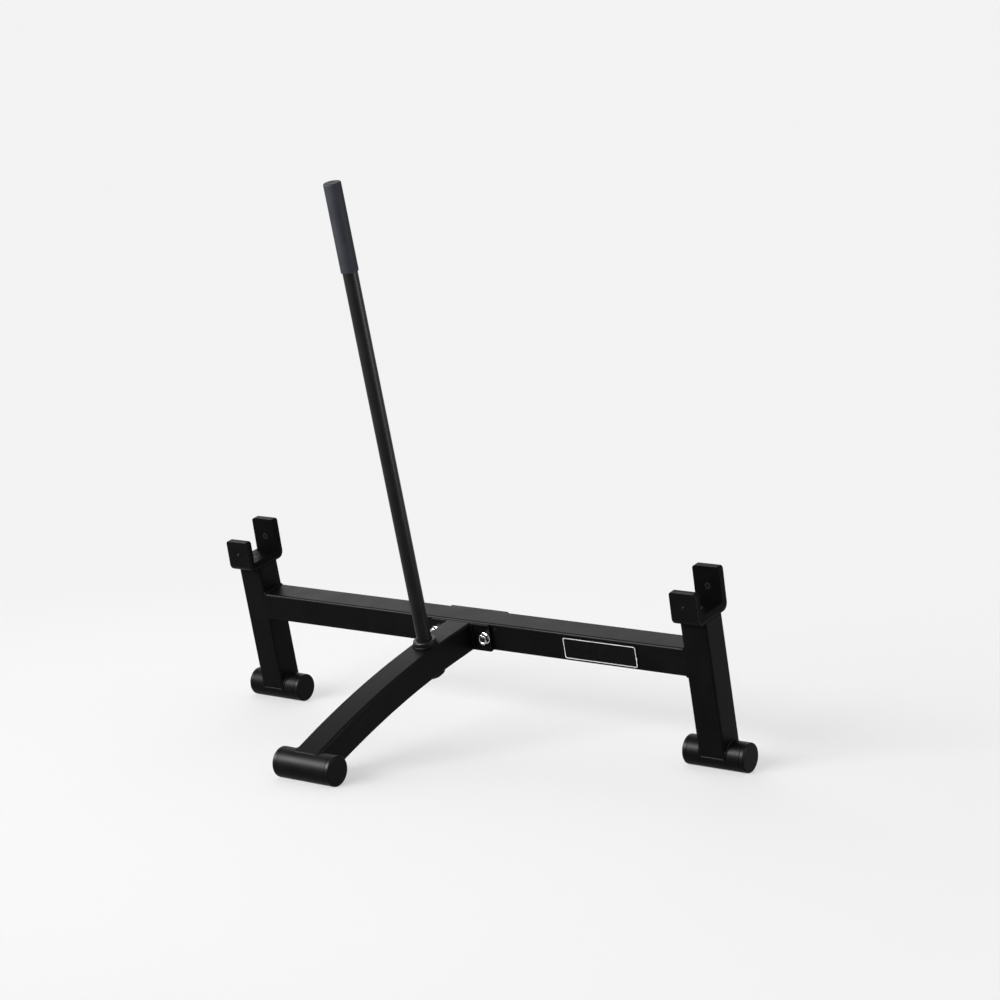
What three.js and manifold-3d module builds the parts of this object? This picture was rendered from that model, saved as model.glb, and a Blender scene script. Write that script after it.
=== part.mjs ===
// Deadlift jack: a low steel stand with two padded cradles, a bolted-on arched
// front leg and a long upright handle that slips into a socket in that leg.
// Millimetres, +Z up. The origin lies on the floor, on the stand's centre plane,
// midway between the front foot and the rear feet. +X runs along the crossbar, and -Y
// is the side that the handle and the front leg reach out to.
import * as THREE from 'three';
import { mergeVertices } from 'three/addons/utils/BufferGeometryUtils.js';
import Module from 'manifold-3d';

const wasm = await Module();
wasm.setup();

// The stand as a whole
const uprightSpread = 960; // between the centre planes of the two uprights
const footStance = 481; // from the rear feet's axis to the front foot's axis
const leanDegrees = 15.4; // the uprights lean forwards by this much
const crossbarRise = 172; // from the rear feet's axis to the crossbar's axis, up the uprights
const uprightRise = 247; // from the rear feet's axis to the uprights' upper ends

// Square tube of the uprights, the crossbar and the leg
const tubeSide = 50.8;
const tubeWall = 3;
const tubeCorner = 4;
const tubeInnerCorner = 1.5;

// Round feet
const footDiameter = 51;
const footWall = 3;
const footLength = 118; // over the two end caps
const capRim = 8; // the part of an end cap that shows
const capRounding = 2.5;
const capSpigot = 14; // the part that is pushed into the tube
const capWall = 2.5;

// Front leg and the two plates that clamp it to the crossbar
const legStraight = 50; // from the crossbar's face to where the arch begins
const plateThickness = 6;
const plateWidth = 128;
const plateHeight = 49;
const plateDrop = 1.3; // its middle lies this far below the crossbar's axis
const plateCorner = 5;

// Bolts through the two plates and the crossbar
const boltSpacing = 106;
const boltDiameter = 10;
const boltClearance = 0.5;
const boltSetBack = 0.5; // how far the bolt's end lies inside its nut
const hexAcross = 17;
const hexTurnDegrees = 11; // how far the nuts and heads are turned from a level flat
const headHeight = 6.4;
const nutHeight = 7.5;
const hexChamfer = 1;
const washerDiameter = 21;
const washerThickness = 2;

// Handle socket: a thick pipe right through the leg
const socketReach = 103; // from the crossbar's face, along the leg
const socketDiameter = 40;
const socketRise = 10; // how far it stands out above the leg
const socketDrop = 8; // how far it stands out under the leg
const socketRounding = 2.5;
const socketFloor = 6;
const mouthChamfer = 1;

// Handle
const handleDiameter = 25.4;
const handleWall = 2.5;
const handleLength = 869;
const handleClearance = 0.4;
const gripLength = 150;
const gripWall = 1.8;
const gripTop = 3;
const gripRounding = 2.5;
const gripChamfer = 0.8; // at its lower end

// Cradle: a bent steel strap with a low front lip and a tall back
const cradleSetbackDegrees = 2; // the cradles lean this much less than the uprights
const strapWidth = 50.8;
const strapThickness = 6;
const strapBend = 13; // outer radius of its two bends
const strapCorner = 5.5;
const lipOverhang = 22.1; // from the upright's front face to the lip's outer face
const cradleDepth = 92; // from the lip's outer face to the back's outer face
const lipHeight = 58;
const backHeight = 76;

// Plastic liners and the countersunk screws that hold them
const lipLinerThickness = 6;
const backLinerThickness = 8;
const baseLinerThickness = 9;
const linerShoulder = 1; // how far the base liner's ends are stepped down
const screwDiameter = 6;
const screwHeadDiameter = 12;
const screwHeadHeight = 3;
const screwRecess = 0.6; // how far the head lies below the liner's face
const screwEnd = 1.5; // how far the end stands out behind the strap
const screwClearance = 0.4;
const lipScrewRise = 32;
const backScrewRise = 42;

// Bare plate on the crossbar, between the leg and the right upright
const labelWidth = 148;
const labelHeight = 40;
const labelThickness = 1.5;
const labelCorner = 3;
const labelSetIn = 192.4; // from the right upright's centre plane to its middle
const labelDrop = 1; // its middle lies this far below the crossbar's axis

// Working values
const seam = 0.3; // gap between pieces that touch
const overrun = 6; // how far a cut runs past the piece
const roundSides = 36;
const boltSides = 24;
const screwSides = 16;
const cornerSides = 3;
const bendSides = 8;
const archSteps = 24;

const lean = THREE.MathUtils.degToRad(leanDegrees);
const setback = THREE.MathUtils.degToRad(cradleSetbackDegrees);
const hexTurn = THREE.MathUtils.degToRad(hexTurnDegrees);
const footRadius = footDiameter / 2;
const halfTube = tubeSide / 2;

const powderCoat = { color: 0x161616, roughness: 0.5, metalness: 0.2 };
const capPlastic = { color: 0x1b1b1c, roughness: 0.55, metalness: 0 };
const linerPlastic = { color: 0x131415, roughness: 0.42, metalness: 0 };
const gripRubber = { color: 0x2a2d31, roughness: 0.7, metalness: 0 };
const zinc = { color: 0xc4c6c8, roughness: 0.28, metalness: 1 };
const screwSteel = { color: 0x2a2a2b, roughness: 0.4, metalness: 0.8 };
const labelFinish = { color: 0x0f0f10, roughness: 0.45, metalness: 0.1 };

function piece(name, geometry, finish) {
  const mesh = new THREE.Mesh(geometry, new THREE.MeshStandardMaterial(finish));
  mesh.name = name;
  return mesh;
}

function group(position, tilt, ...children) {
  const holder = new THREE.Group();
  holder.position.copy(position);
  holder.rotation.x = tilt;
  holder.add(...children);
  return holder;
}

// A closed geometry becomes a solid that can be cut, and a solid becomes a geometry again.
function solidOf(geometry) {
  const bare = geometry.clone();
  bare.deleteAttribute('normal');
  bare.deleteAttribute('uv');
  const merged = mergeVertices(bare);
  const vertProperties = new Float32Array(merged.attributes.position.array);
  const triVerts = new Uint32Array(merged.index.array);
  return new wasm.Manifold(new wasm.Mesh({ numProp: 3, vertProperties, triVerts }));
}

function geometryOf(solid) {
  const mesh = solid.getMesh();
  const geometry = new THREE.BufferGeometry();
  geometry.setAttribute('position', new THREE.BufferAttribute(mesh.vertProperties, 3));
  geometry.setIndex(new THREE.BufferAttribute(mesh.triVerts, 1));
  return geometry;
}

function cut(geometry, ...tools) {
  const solids = tools.map(solidOf);
  return geometryOf(solids.reduce((body, tool) => body.subtract(tool), solidOf(geometry)));
}

// A profile of [radius, height] pairs, turned about the Z axis.
function turned(profile, sides = roundSides) {
  const points = profile.map(([radius, height]) => new THREE.Vector2(radius, height));
  return new THREE.LatheGeometry(points, sides).rotateX(Math.PI / 2);
}

// The points of a rounding from one angle to another, with its centre at [radius, height].
function arcPoints(centreX, centreY, radius, fromAngle, toAngle, sides = cornerSides) {
  const points = [];
  for (let step = 0; step <= sides; step += 1) {
    const angle = fromAngle + ((toAngle - fromAngle) * step) / sides;
    points.push([centreX + radius * Math.cos(angle), centreY + radius * Math.sin(angle)]);
  }
  return points;
}

function shapeOf(points) {
  return new THREE.Shape(points.map(([x, y]) => new THREE.Vector2(x, y)));
}

function roundedRectangle(width, height, corner) {
  const across = width / 2 - corner;
  const along = height / 2 - corner;
  return [
    ...arcPoints(across, -along, corner, -Math.PI / 2, 0),
    ...arcPoints(across, along, corner, 0, Math.PI / 2),
    ...arcPoints(-across, along, corner, Math.PI / 2, Math.PI),
    ...arcPoints(-across, -along, corner, Math.PI, 1.5 * Math.PI),
  ];
}

// A strip with two square lower corners at height low and two rounded ones at height high.
function roundedTop(width, low, high, corner) {
  const across = width / 2 - corner;
  return [
    [-width / 2, low],
    [width / 2, low],
    ...arcPoints(across, high - corner, corner, 0, Math.PI / 2),
    ...arcPoints(-across, high - corner, corner, Math.PI / 2, Math.PI),
  ];
}

function tubeSection() {
  const section = shapeOf(roundedRectangle(tubeSide, tubeSide, tubeCorner));
  const innerSide = tubeSide - 2 * tubeWall;
  section.holes.push(shapeOf(roundedRectangle(innerSide, innerSide, tubeInnerCorner)));
  return section;
}

function extruded(shape, depth) {
  return new THREE.ExtrudeGeometry(shape, { depth, steps: 1, bevelEnabled: false });
}

// A plate that stands upright: its outline in X and Z, and depth its thickness behind front in Y.
function standing(points, front, depth) {
  return extruded(shapeOf(points), depth).rotateX(Math.PI / 2).translate(0, front + depth, 0);
}

// A solid whose outline is in Y and Z, with its length along X about the centre plane.
function laidAlongX(shape, length) {
  return extruded(shape, length)
    .rotateZ(Math.PI / 2)
    .rotateY(Math.PI / 2)
    .translate(-length / 2, 0, 0);
}

function rodAlongX(radius, length, sides = roundSides) {
  return rodAlongY(radius, length, sides).rotateZ(Math.PI / 2);
}

function rodAlongY(radius, length, sides = roundSides) {
  return new THREE.CylinderGeometry(radius, radius, length, sides);
}

function rodAlongZ(radius, length, sides = roundSides) {
  return rodAlongY(radius, length, sides).rotateX(Math.PI / 2);
}

// Feet

const footTubeLength = footLength - 2 * (capRim + seam);

function footTube(name) {
  const inner = footRadius - footWall;
  const half = footTubeLength / 2;
  const profile = [
    [inner, -half],
    [footRadius, -half],
    [footRadius, half],
    [inner, half],
    [inner, -half],
  ];
  return piece(name, turned(profile).rotateY(Math.PI / 2), powderCoat);
}

// A hollow plastic cap: side is 1 for the cap on the +X end and -1 for the other.
function footCap(name, side) {
  const spigot = footRadius - footWall - seam;
  const face = capRim;
  const profile = [
    [0, face - capWall],
    [spigot - capWall, face - capWall],
    [spigot - capWall, -capSpigot],
    [spigot, -capSpigot],
    [spigot, 0],
    [footRadius, 0],
    ...arcPoints(footRadius - capRounding, face - capRounding, capRounding, 0, Math.PI / 2),
    [0, face],
  ];
  const cap = piece(name, turned(profile).rotateY(Math.PI / 2), capPlastic);
  cap.rotation.z = side > 0 ? 0 : Math.PI;
  cap.position.x = side * (footTubeLength / 2 + seam);
  return cap;
}

function foot(prefix, position) {
  return group(
    position,
    0,
    footTube(`${prefix}_tube`),
    footCap(`${prefix}_cap_left`, -1),
    footCap(`${prefix}_cap_right`, 1),
  );
}

// Uprights and crossbar, in the leaning plane whose origin is the rear feet's axis

function upright(name, side) {
  const length = uprightRise + tubeSide;
  const footRoom = rodAlongX(footRadius + seam, tubeSide + 2 * overrun);
  const block = tubeSide + 2 * overrun;
  const cradleRoom = new THREE.BoxGeometry(block, block, block)
    .translate(0, 0, block / 2 - seam)
    .rotateX(-setback)
    .translate(0, 0, uprightRise);
  const tube = cut(extruded(tubeSection(), length), footRoom, cradleRoom);
  const mesh = piece(name, tube, powderCoat);
  mesh.position.x = (side * uprightSpread) / 2;
  return mesh;
}

function crossbar() {
  const length = uprightSpread - tubeSide - 2 * seam;
  const holes = [-1, 1].map((side) =>
    rodAlongY(boltDiameter / 2 + boltClearance, tubeSide + 2 * overrun, boltSides)
      .translate((side * boltSpacing) / 2, 0, 0));
  const mesh = piece('crossbar', cut(laidAlongX(tubeSection(), length), ...holes), powderCoat);
  mesh.position.z = crossbarRise;
  return mesh;
}

// Plates and bolts that clamp the leg to the crossbar

const flangeBack = -(halfTube + seam);
const flangeFront = flangeBack - plateThickness;
const clampFront = halfTube + seam;
const clampBack = clampFront + plateThickness;

function boltedPlate(name, front) {
  const holes = [-1, 1].map((side) =>
    rodAlongY(boltDiameter / 2 + boltClearance, plateThickness + 2 * overrun, boltSides)
      .translate((side * boltSpacing) / 2, front + plateThickness / 2, plateDrop));
  const outline = roundedRectangle(plateWidth, plateHeight, plateCorner);
  const mesh = piece(name, cut(standing(outline, front, plateThickness), ...holes), powderCoat);
  mesh.position.z = crossbarRise - plateDrop;
  return mesh;
}

function washer(name, side, front) {
  const inner = boltDiameter / 2 + boltClearance;
  const outer = washerDiameter / 2;
  const profile = [
    [inner, 0],
    [outer, 0],
    [outer, washerThickness],
    [inner, washerThickness],
    [inner, 0],
  ];
  const mesh = piece(name, turned(profile, boltSides).rotateX(-Math.PI / 2), zinc);
  mesh.position.set((side * boltSpacing) / 2, front, crossbarRise);
  return mesh;
}

// A hexagon of the bolts' size, its corners chamfered at both ends, from height 0 up.
function hexagon(height) {
  const corner = hexAcross / Math.sqrt(3);
  const flat = corner - hexChamfer;
  const prism = new THREE.CylinderGeometry(corner, corner, height, 6)
    .rotateX(Math.PI / 2)
    .translate(0, 0, height / 2);
  const slope = hexChamfer / 2;
  const round = turned([
    [0, 0],
    [flat, 0],
    [corner, slope],
    [corner, height - slope],
    [flat, height],
    [0, height],
  ], boltSides);
  return solidOf(prism.rotateZ(hexTurn)).intersect(solidOf(round));
}

const headFront = clampBack + seam + washerThickness + seam;
const nutBack = flangeFront - seam - washerThickness - seam;

function bolt(name, side) {
  const end = nutBack - nutHeight + boltSetBack;
  const length = headFront - end;
  const rooted = length + headHeight / 2; // the shank reaches into the head, so the two are one solid
  const shank = rodAlongZ(boltDiameter / 2, rooted, boltSides).translate(0, 0, rooted / 2 - length);
  const mesh = piece(name, geometryOf(hexagon(headHeight).add(solidOf(shank))), zinc);
  mesh.rotation.x = -Math.PI / 2;
  mesh.position.set((side * boltSpacing) / 2, headFront, crossbarRise);
  return mesh;
}

function nut(name, side) {
  const hole = rodAlongZ(boltDiameter / 2 + seam, nutHeight + 2 * overrun, boltSides)
    .translate(0, 0, nutHeight / 2);
  const mesh = piece(name, geometryOf(hexagon(nutHeight).subtract(solidOf(hole))), zinc);
  mesh.rotation.x = Math.PI / 2;
  mesh.position.set((side * boltSpacing) / 2, nutBack, crossbarRise);
  return mesh;
}

// Front leg. It runs straight from the crossbar, then arches down to the front foot.

const archStart = halfTube + legStraight;
const archRun = footStance * Math.cos(lean) - archStart;
const archDrop = crossbarRise - footStance * Math.sin(lean);
const archRadius = (archRun ** 2 + archDrop ** 2) / (2 * archDrop);
const archAngle = 2 * Math.atan2(archDrop, archRun);
const archLength = archRadius * archAngle;

// The place on the leg's centre line at a distance from the crossbar's face, and its slope there.
function legPlace(reach) {
  const bent = Math.max(reach - legStraight, 0) / archRadius;
  const straight = Math.min(reach, legStraight);
  return {
    y: -(halfTube + straight + archRadius * Math.sin(bent)),
    z: crossbarRise - archRadius * (1 - Math.cos(bent)),
    slope: bent,
  };
}

class LegLine extends THREE.Curve {
  getPoint(share, target = new THREE.Vector3()) {
    const first = seam - flangeFront - halfTube;
    const place = legPlace(first + share * (legStraight + archLength - first));
    return target.set(0, place.y, place.z);
  }
}

function socketPlace() {
  return legPlace(socketReach);
}

function frontLeg() {
  const shape = tubeSection();
  const sweep = new THREE.ExtrudeGeometry(shape, { extrudePath: new LegLine(), steps: archSteps });
  const end = legPlace(legStraight + archLength);
  const footRoom = rodAlongX(footRadius + seam, tubeSide + 2 * overrun).translate(0, end.y, end.z);
  const place = socketPlace();
  const socketRoom = rodAlongZ(socketDiameter / 2 + seam, tubeSide + 2 * overrun)
    .rotateX(place.slope)
    .translate(0, place.y, place.z);
  return piece('front_leg', cut(sweep, footRoom, socketRoom), powderCoat);
}

// Handle and its socket. Their group's origin lies on the leg's centre line.

const handleRadius = handleDiameter / 2;
const socketBottom = -(halfTube + socketDrop);
const socketTop = halfTube + socketRise;

function handleSocket() {
  const outer = socketDiameter / 2;
  const bore = handleRadius + handleClearance;
  const profile = [
    [0, socketBottom],
    ...arcPoints(outer - socketRounding, socketBottom + socketRounding, socketRounding, -Math.PI / 2, 0),
    ...arcPoints(outer - socketRounding, socketTop - socketRounding, socketRounding, 0, Math.PI / 2),
    [bore + mouthChamfer, socketTop],
    [bore, socketTop - mouthChamfer],
    [bore, socketBottom + socketFloor],
    [0, socketBottom + socketFloor],
  ];
  return piece('handle_socket', turned(profile), powderCoat);
}

const handleBottom = socketBottom + socketFloor + seam;
const handleEnd = handleBottom + handleLength;

function handleTube() {
  const inner = handleRadius - handleWall;
  const profile = [
    [inner, handleBottom],
    [handleRadius, handleBottom],
    [handleRadius, handleEnd],
    [inner, handleEnd],
    [inner, handleBottom],
  ];
  return piece('handle_tube', turned(profile), powderCoat);
}

function handleGrip() {
  const inner = handleRadius + seam;
  const outer = inner + gripWall;
  const top = handleEnd + seam + gripTop;
  const low = top - gripLength;
  const profile = [
    [0, handleEnd + seam],
    [inner, handleEnd + seam],
    [inner, low],
    [outer - gripChamfer, low],
    [outer, low + gripChamfer],
    ...arcPoints(outer - gripRounding, top - gripRounding, gripRounding, 0, Math.PI / 2),
    [0, top],
  ];
  return piece('handle_grip', turned(profile), gripRubber);
}

// Cradles. A cradle's origin is the middle of its upright's upper end.

const lipOuter = -(halfTube + lipOverhang);
const backOuter = lipOuter + cradleDepth;
const lipInner = lipOuter + strapThickness;
const backInner = backOuter - strapThickness;
const innerBend = strapBend - strapThickness;
const lipCentre = lipOuter + strapBend;
const backCentre = backOuter - strapBend;

function screwProfile(length, clearance) {
  const head = screwHeadDiameter / 2 + clearance;
  const shank = screwDiameter / 2 + clearance;
  const past = clearance > 0 ? overrun : 0;
  return [
    [0, -past],
    [head, -past],
    [head, 0],
    [shank, screwHeadHeight],
    [shank, length + past],
    [0, length + past],
  ];
}

// The three screws: where each head lies, which way the screw points, and what it goes through.
const lipScrew = {
  y: lipInner + seam + lipLinerThickness - screwRecess,
  z: lipScrewRise,
  turn: Math.PI / 2,
  through: lipLinerThickness,
};
const backScrew = {
  y: backInner - seam - backLinerThickness + screwRecess,
  z: backScrewRise,
  turn: -Math.PI / 2,
  through: backLinerThickness,
};
const baseScrew = {
  y: 0,
  z: strapThickness + seam + baseLinerThickness - screwRecess,
  turn: Math.PI,
  through: baseLinerThickness,
};

function screwLength(place) {
  return place.through - screwRecess + seam + strapThickness + screwEnd;
}

function screwHole(place) {
  return turned(screwProfile(screwLength(place), screwClearance), screwSides)
    .rotateX(place.turn)
    .translate(0, place.y, place.z);
}

function linerScrew(name, place) {
  const mesh = piece(name, turned(screwProfile(screwLength(place), 0), screwSides), screwSteel);
  mesh.rotation.x = place.turn;
  mesh.position.set(0, place.y, place.z);
  return mesh;
}

function strap(name) {
  const outline = [
    [lipOuter, lipHeight],
    ...arcPoints(lipCentre, strapBend, strapBend, Math.PI, 1.5 * Math.PI, bendSides),
    ...arcPoints(backCentre, strapBend, strapBend, 1.5 * Math.PI, 2 * Math.PI, bendSides),
    [backOuter, backHeight],
    [backInner, backHeight],
    ...arcPoints(backCentre, strapBend, innerBend, 2 * Math.PI, 1.5 * Math.PI, bendSides),
    ...arcPoints(lipCentre, strapBend, innerBend, 1.5 * Math.PI, Math.PI, bendSides),
    [lipInner, lipHeight],
  ];
  const bent = solidOf(laidAlongX(shapeOf(outline), strapWidth));
  const half = cradleDepth / 2;
  const lipView = roundedTop(strapWidth, -overrun, lipHeight, strapCorner);
  const backView = roundedTop(strapWidth, -overrun, backHeight, strapCorner);
  const rounded = solidOf(standing(lipView, lipOuter, half))
    .add(solidOf(standing(backView, lipOuter + half, half)));
  const holes = [lipScrew, backScrew, baseScrew].map(screwHole);
  return piece(name, cut(geometryOf(bent.intersect(rounded)), ...holes), powderCoat);
}

// The side liners stand on the base liner's stepped-down ends, with its top between them.
const shoulder = strapThickness + seam + baseLinerThickness - linerShoulder;
const lipLinerFront = lipInner + seam;
const backLinerFront = backInner - seam - backLinerThickness;

function sideLiner(name, front, height, place) {
  const outline = roundedTop(strapWidth, shoulder + seam, height, strapCorner);
  return piece(name, cut(standing(outline, front, place.through), screwHole(place)), linerPlastic);
}

// The base liner fills the strap's floor. Its sides follow the two bends, and go on straight above them
// where its shoulders lie higher.
function baseLiner(name) {
  const top = shoulder + linerShoulder;
  const radius = innerBend - seam;
  const endAngle = Math.asin(Math.min((shoulder - strapBend) / radius, 0));
  const straightSides = shoulder > strapBend;
  const outline = [
    ...arcPoints(backCentre, strapBend, radius, -Math.PI / 2, endAngle, bendSides),
    ...(straightSides ? [[backCentre + radius, shoulder]] : []),
    [backLinerFront - seam, shoulder],
    [backLinerFront - seam, top],
    [lipLinerFront + lipLinerThickness + seam, top],
    [lipLinerFront + lipLinerThickness + seam, shoulder],
    ...(straightSides ? [[lipCentre - radius, shoulder]] : []),
    ...arcPoints(lipCentre, strapBend, radius, Math.PI - endAngle, 1.5 * Math.PI, bendSides),
  ];
  return piece(name, cut(laidAlongX(shapeOf(outline), strapWidth), screwHole(baseScrew)), linerPlastic);
}

function cradle(sideName, side) {
  const position = new THREE.Vector3((side * uprightSpread) / 2, 0, uprightRise);
  return group(
    position,
    -setback,
    strap(`cradle_strap_${sideName}`),
    baseLiner(`base_liner_${sideName}`),
    sideLiner(`lip_liner_${sideName}`, lipLinerFront, lipHeight, lipScrew),
    sideLiner(`back_liner_${sideName}`, backLinerFront, backHeight, backScrew),
    linerScrew(`base_liner_screw_${sideName}`, baseScrew),
    linerScrew(`lip_liner_screw_${sideName}`, lipScrew),
    linerScrew(`back_liner_screw_${sideName}`, backScrew),
  );
}

function labelPlate() {
  const outline = roundedRectangle(labelWidth, labelHeight, labelCorner);
  const plate = standing(outline, flangeBack - labelThickness, labelThickness);
  const mesh = piece('label_plate', plate, labelFinish);
  mesh.position.set(uprightSpread / 2 - labelSetIn, 0, crossbarRise - labelDrop);
  return mesh;
}

// Assembly

const rearAxis = new THREE.Vector3(0, footStance / 2, footRadius);
const frontAxis = new THREE.Vector3(0, -footStance / 2, footRadius);

const sides = [['left', -1], ['right', 1]];
const leaning = [
  crossbar(),
  boltedPlate('leg_flange', flangeFront),
  boltedPlate('clamp_plate', clampFront),
  frontLeg(),
  labelPlate(),
];
for (const [sideName, side] of sides) {
  leaning.push(upright(`upright_${sideName}`, side));
  leaning.push(cradle(sideName, side));
  leaning.push(bolt(`flange_bolt_${sideName}`, side));
  leaning.push(nut(`bolt_nut_${sideName}`, side));
  leaning.push(washer(`front_washer_${sideName}`, side, flangeFront - seam - washerThickness));
  leaning.push(washer(`rear_washer_${sideName}`, side, clampBack + seam));
}
const socket = socketPlace();
const socketCentre = new THREE.Vector3(0, socket.y, socket.z);
leaning.push(group(socketCentre, socket.slope, handleSocket(), handleTube(), handleGrip()));

const jack = new THREE.Group();
jack.add(group(rearAxis, lean, ...leaning));
for (const [sideName, side] of sides) {
  const place = rearAxis.clone().setX((side * uprightSpread) / 2);
  jack.add(foot(`rear_foot_${sideName}`, place));
}
jack.add(foot('front_foot', frontAxis));

export default jack;
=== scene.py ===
# %% [markdown]
# # A deadlift jack
#
# A deadlift jack is a low steel stand with two padded cradles, which hold a load just off the floor. A pull
# on the tall handle rocks the whole stand back on its round rear feet, and lifts what lies in the cradles.
#
# The plain solids of the jack are already packed as a fixed frame: they say where everything is. This
# script dresses them. Each plain solid gets a finer piece of the same size in the same place, with round
# corners, weld beads and a proper finish. Building on the frame, and not freely, keeps every dimension
# true.

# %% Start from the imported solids
import math
import bpy
import bmesh
from mathutils import Matrix, Vector


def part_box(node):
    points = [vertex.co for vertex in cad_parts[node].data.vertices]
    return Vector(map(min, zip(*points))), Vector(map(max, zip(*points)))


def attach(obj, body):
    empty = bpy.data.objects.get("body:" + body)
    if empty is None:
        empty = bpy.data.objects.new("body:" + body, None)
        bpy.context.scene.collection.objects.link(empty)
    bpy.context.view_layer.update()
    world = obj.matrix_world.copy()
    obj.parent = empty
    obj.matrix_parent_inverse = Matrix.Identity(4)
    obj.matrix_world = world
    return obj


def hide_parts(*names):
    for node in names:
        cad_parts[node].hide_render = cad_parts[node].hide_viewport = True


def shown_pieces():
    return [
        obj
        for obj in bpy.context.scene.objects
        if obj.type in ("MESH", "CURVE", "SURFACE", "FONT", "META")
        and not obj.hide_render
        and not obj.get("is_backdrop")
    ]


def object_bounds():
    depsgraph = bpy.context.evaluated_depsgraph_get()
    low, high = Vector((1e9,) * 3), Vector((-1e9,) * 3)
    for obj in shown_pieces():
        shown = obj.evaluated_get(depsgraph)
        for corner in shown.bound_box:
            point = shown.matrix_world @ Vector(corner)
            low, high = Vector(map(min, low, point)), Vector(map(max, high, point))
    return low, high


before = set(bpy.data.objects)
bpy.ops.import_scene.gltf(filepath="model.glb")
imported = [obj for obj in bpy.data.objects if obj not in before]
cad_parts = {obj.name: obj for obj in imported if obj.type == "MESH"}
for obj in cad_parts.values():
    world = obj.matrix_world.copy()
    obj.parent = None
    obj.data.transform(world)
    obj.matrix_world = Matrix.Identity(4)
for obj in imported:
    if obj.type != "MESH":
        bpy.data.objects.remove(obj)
cad_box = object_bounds()
mm = 0.001
print("the frame measures", [round(high - low, 3) for low, high in zip(*cad_box)], "m")

# %% [markdown]
# ## Where things are
#
# The origin lies on the floor in the middle of the stand. X runs along the crossbar, and Y from the front
# foot back. The uprights, the crossbar and the leg share one plane that leans forwards, so it is easiest to
# model them upright and lay them into a tilted frame of their own. A frame could be an empty object that
# pieces are parented to. A plain matrix does the same and leaves nothing extra in the file.

# %% The leaning frames of uprights and cradles
FOOT_STANCE = 481 * mm
FOOT_RADIUS = 25.5 * mm
UPRIGHT_SPREAD = 960 * mm
UPRIGHT_RISE = 247 * mm
CROSSBAR_RISE = 172 * mm
LEAN = math.radians(15.4)
CRADLE_SETBACK = math.radians(2)
SIDES = {"left": -1, "right": 1}


def tilted(place, angle):
    """A frame at a place, turned about X."""
    return Matrix.Translation(place) @ Matrix.Rotation(angle, 4, "X")


rear_axis = Vector((0, FOOT_STANCE / 2, FOOT_RADIUS))
front_axis = Vector((0, -FOOT_STANCE / 2, FOOT_RADIUS))
leaning = tilted(rear_axis, LEAN)
upright_frame = {side: leaning @ Matrix.Translation((sign * UPRIGHT_SPREAD / 2, 0, 0))
                 for side, sign in SIDES.items()}
cradle_frame = {side: upright @ tilted((0, 0, UPRIGHT_RISE), -CRADLE_SETBACK)
                for side, upright in upright_frame.items()}
print("left cradle stands at", [round(c, 4) for c in cradle_frame["left"].translation])

# %% [markdown]
# ## Camera
#
# The photograph looks at the jack from its front right, a little above the cradles. A camera could be aimed
# with a Track To constraint, but the picture was taken with the horizon nearly level and then cropped, so
# the direction is set by its angles, with a hair of roll, and the crop by the lens shift. The long lens
# keeps the uprights nearly parallel, as in the picture.

# %% Place the camera
camera_data = bpy.data.cameras.new("camera")
camera_data.sensor_width = 36
camera_data.lens = 89.54
camera_data.shift_x = 0.0319
camera_data.shift_y = -0.0493
camera_data.clip_end = 200
camera = bpy.data.objects.new("camera", camera_data)
camera.location = (2.5753, -3.2394, 0.9533)
camera.rotation_euler = [math.radians(a) for a in (83.997, -0.05, 36.953)]
bpy.context.scene.collection.objects.link(camera)
bpy.context.scene.camera = camera
print("camera to jack:", round((camera.location - Vector((0, 0, 0.3))).length, 2), "m")

# %% [markdown]
# ## A way to wire nodes
#
# The floor, the backdrop and every finish are node trees. They could be wired by hand in the Shader Editor,
# one node and one link at a time. Here a helper adds a node together with its settings and inputs, so a
# tree reads from top to bottom like a recipe.

# %% Helpers for node trees


def new_finish(name):
    """An empty node material, with its node tree."""
    finish = bpy.data.materials.new(name)
    finish.use_nodes = True
    finish.node_tree.nodes.clear()
    return finish, finish.node_tree


def grey(value):
    return (value, value, value, 1)


def add_node(tree, kind, inputs=(), **settings):
    """A shader node with its settings. Each input is a value, or a socket or node to link from."""
    node = tree.nodes.new("ShaderNode" + kind)
    for name, value in settings.items():
        setattr(node, name, value)
    for name, value in dict(inputs).items():
        if isinstance(value, bpy.types.Node):
            value = value.outputs[0]
        if isinstance(value, bpy.types.NodeSocket):
            tree.links.new(value, node.inputs[name])
        else:
            node.inputs[name].default_value = value
    return node


print("a mid grey is", grey(0.5))

# %% [markdown]
# ## Floor and backdrop
#
# The jack stands in a pale studio with no visible horizon. A real studio curves its paper up behind the
# subject. That paper would hide the jack from other sides, so here the floor is one wide disc that fades
# into a world of the same pale grey. Near the jack the floor is half painted surface and half glow: the
# surface part keeps the jack's soft shadow, and the glow keeps that shadow as light as in the picture.
# Light that bounces off the floor onto the jack meets a plain painted floor instead.

# %% Make the floor
BACKDROP_GREY = 0.893
NEAR_PAINT_GREY = 0.5
NEAR_GLOW_GREY = 0.46
BOUNCE_GREY = 0.6
FADE_START, FADE_END = 0.55, 2.1
FLOOR_RADIUS = 60


def seen_rays(tree):
    """1 for rays that show the studio as it looks: straight, mirrored or through glass."""
    rays = add_node(tree, "LightPath").outputs
    seen = rays["Is Camera Ray"]
    for kind in ("Is Glossy Ray", "Is Transmission Ray"):
        seen = add_node(tree, "Math", {0: seen, 1: rays[kind]}, operation="ADD", use_clamp=True)
    return seen


def fading_grey(tree, factor, near, far):
    """A grey that goes from near to far with the factor. A Mix node's colours are its inputs 6 and 7."""
    return add_node(tree, "Mix", {"Factor": factor, 6: grey(near), 7: grey(far)},
                    data_type="RGBA").outputs[2]


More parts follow.
